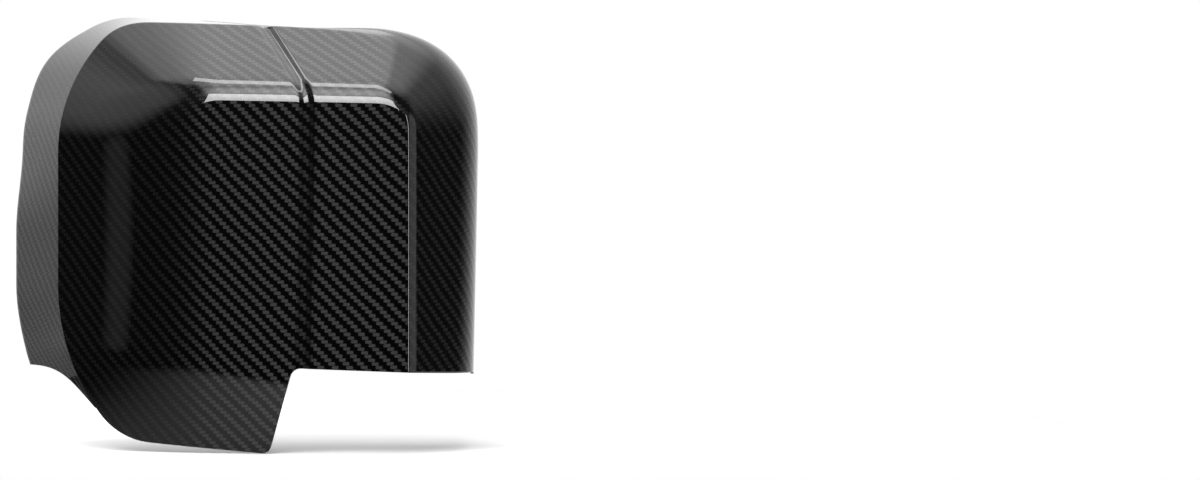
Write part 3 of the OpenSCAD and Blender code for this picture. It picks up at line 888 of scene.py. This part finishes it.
class MIRROR_OT_stage(bpy.types.Operator):
    """Build the floor, the lights and the camera"""

    bl_idname = "mirror_cover.stage"
    bl_label = "Stage"

    def execute(self, context):
        s = in_mm(context.scene.shell_sizes)
        studio = in_mm(context.scene.studio_looks)
        self.floor(context, studio)
        self.lights(context)
        self.world(context)
        self.camera(context, s, studio)
        context.scene.view_settings.view_transform = "Standard"
        return {"FINISHED"}

    def floor(self, context, studio):
        """Matt white paper, under the part and behind it."""
        material, tree, shader = principled("white_paper_matt")
        (left, right), (near, far) = FLOOR_X, FLOOR_Y
        low = CAD_BOX[0][2] - FLOOR_GAP
        # The sheet falls into shade towards its near and left edges, which only the part's coat shows
        where = add(tree, "ShaderNodeTexCoord")
        spot = add(tree, "ShaderNodeSeparateXYZ", (where.outputs["Object"],))
        lit = add(tree, "ShaderNodeMapRange", (spot.outputs["X"], left, left + FADE_LEFT, 0.0, LIGHT_SHARE),
                  interpolation_type="SMOOTHSTEP")
        close = add(tree, "ShaderNodeMapRange", (spot.outputs["Y"], near, near + FADE_NEAR, 0.0, 1.0),
                    interpolation_type="SMOOTHSTEP")
        lit = add(tree, "ShaderNodeMath", (lit, close), operation="MULTIPLY")
        path = add(tree, "ShaderNodeLightPath")
        lit = add(tree, "ShaderNodeMath", (lit, path.outputs["Is Camera Ray"]), operation="MAXIMUM")
        tone = blend(tree, lit, linear(studio.shade), linear(studio.paper))
        put(tree, shader, {"Base Color": tone, "Roughness": 0.9, "Specular IOR Level": 0.1})
        bm = bmesh.new()
        corners = ((left, near, low), (right, near, low), (right, far, low), (left, far, low))
        bm.faces.new([bm.verts.new(p) for p in corners])
        mesh = bpy.data.meshes.new("paper")
        bm.to_mesh(mesh)
        bm.free()
        mesh.materials.append(material)
        paper = bpy.data.objects.new("paper", mesh)
        context.scene.collection.objects.link(paper)

    def lights(self, context):
        """A broad soft box above the camera, a narrow one overhead and a narrow one on the right."""
        for name, place, size, power in LAMPS:
            data = bpy.data.lights.new(name, "AREA")
            data.shape = "RECTANGLE"
            data.size, data.size_y = size
            data.energy = power
            lamp = bpy.data.objects.new(name, data)
            lamp.location = place
            aim = -np.array(place)
            tilt = math.atan2(math.hypot(aim[0], aim[1]), -aim[2])
            lamp.rotation_euler = (tilt, 0, math.atan2(-aim[0], aim[1]))
            context.scene.collection.objects.link(lamp)

    def world(self, context):
        """White to the camera; to all other rays a dark room with a few soft-edged lit sides."""
        world = bpy.data.worlds.new("studio")
        context.scene.world = world
        world.use_nodes = True
        tree = world.node_tree
        tree.nodes.clear()
        way = add(tree, "ShaderNodeTexCoord")
        total = ROOM_LEVEL
        for axis, edge, core, level in LIT_SIDES:
            ends = (way.outputs["Generated"], axis)
            along = add(tree, "ShaderNodeVectorMath", ends, operation="DOT_PRODUCT")
            lit = add(tree, "ShaderNodeMapRange", (along.outputs["Value"], edge, core, 0.0, level),
                      interpolation_type="SMOOTHSTEP")
            total = add(tree, "ShaderNodeMath", (total, lit), operation="ADD")
        room = add(tree, "ShaderNodeBackground", {"Color": (1, 1, 1, 1), "Strength": total})
        seen = add(tree, "ShaderNodeBackground", {"Color": (1, 1, 1, 1), "Strength": 1.0})
        path = add(tree, "ShaderNodeLightPath")
        both = add(tree, "ShaderNodeMixShader", (path.outputs["Is Camera Ray"], room, seen))
        add(tree, "ShaderNodeOutputWorld", (both,))

    def camera(self, context, s, studio):
        """The photograph's view: level, square to the front, with the part left of the middle."""
        pixels = studio.camera_far / studio.pixel
        # The part stands off the lens's axis, where a picture stretches: turn and focal length hang together
        turn = 0.0
        for _ in range(AIM_ROUNDS):
            turn = math.atan(AIM_PX / (pixels * math.cos(turn) ** 2))
        data = bpy.data.cameras.new("camera")
        data.lens = data.sensor_width * pixels * math.cos(turn) ** 2 / FRAME_PX
        camera = bpy.data.objects.new("camera", data)
        # The camera is placed from the datum, and the frame's origin is the middle of the part
        verts = Mesh(Skin(s), 1).build()[0]
        middle = (verts.min(0) + verts.max(0)) / 2
        camera.location = [v * MM for v in (-middle[0], -studio.camera_far - middle[1], -middle[2])]
        camera.rotation_euler = (math.radians(90), 0, -turn)
        context.scene.collection.objects.link(camera)
        context.scene.camera = camera


class MIRROR_PT_panel(bpy.types.Panel):
    """Buttons and settings of the mirror cover"""

    bl_label = "Mirror Cover"
    bl_space_type = "VIEW_3D"
    bl_region_type = "UI"
    bl_category = "Mirror Cover"

    def draw(self, context):
        for operator in (MIRROR_OT_shell, MIRROR_OT_stage):
            self.layout.operator(operator.bl_idname)
        for group in (context.scene.shell_sizes, context.scene.cloth_looks, context.scene.studio_looks):
            box = self.layout.box()
            for prop in group.bl_rna.properties:
                if prop.identifier not in ("rna_type", "name"):
                    box.prop(group, prop.identifier)


CLASSES = (ShellSizes, ClothLooks, StudioLooks, MIRROR_OT_shell, MIRROR_OT_stage, MIRROR_PT_panel)
GROUPS = {"shell_sizes": ShellSizes, "cloth_looks": ClothLooks, "studio_looks": StudioLooks}


def register():
    for cls in CLASSES:
        bpy.utils.register_class(cls)
    for name, cls in GROUPS.items():
        setattr(bpy.types.Scene, name, PointerProperty(type=cls))


def unregister():
    for name in GROUPS:
        delattr(bpy.types.Scene, name)
    for cls in reversed(CLASSES):
        bpy.utils.unregister_class(cls)


def main():
    register()
    bpy.ops.mirror_cover.shell()
    bpy.ops.mirror_cover.stage()


if __name__ == "__main__":
    main()
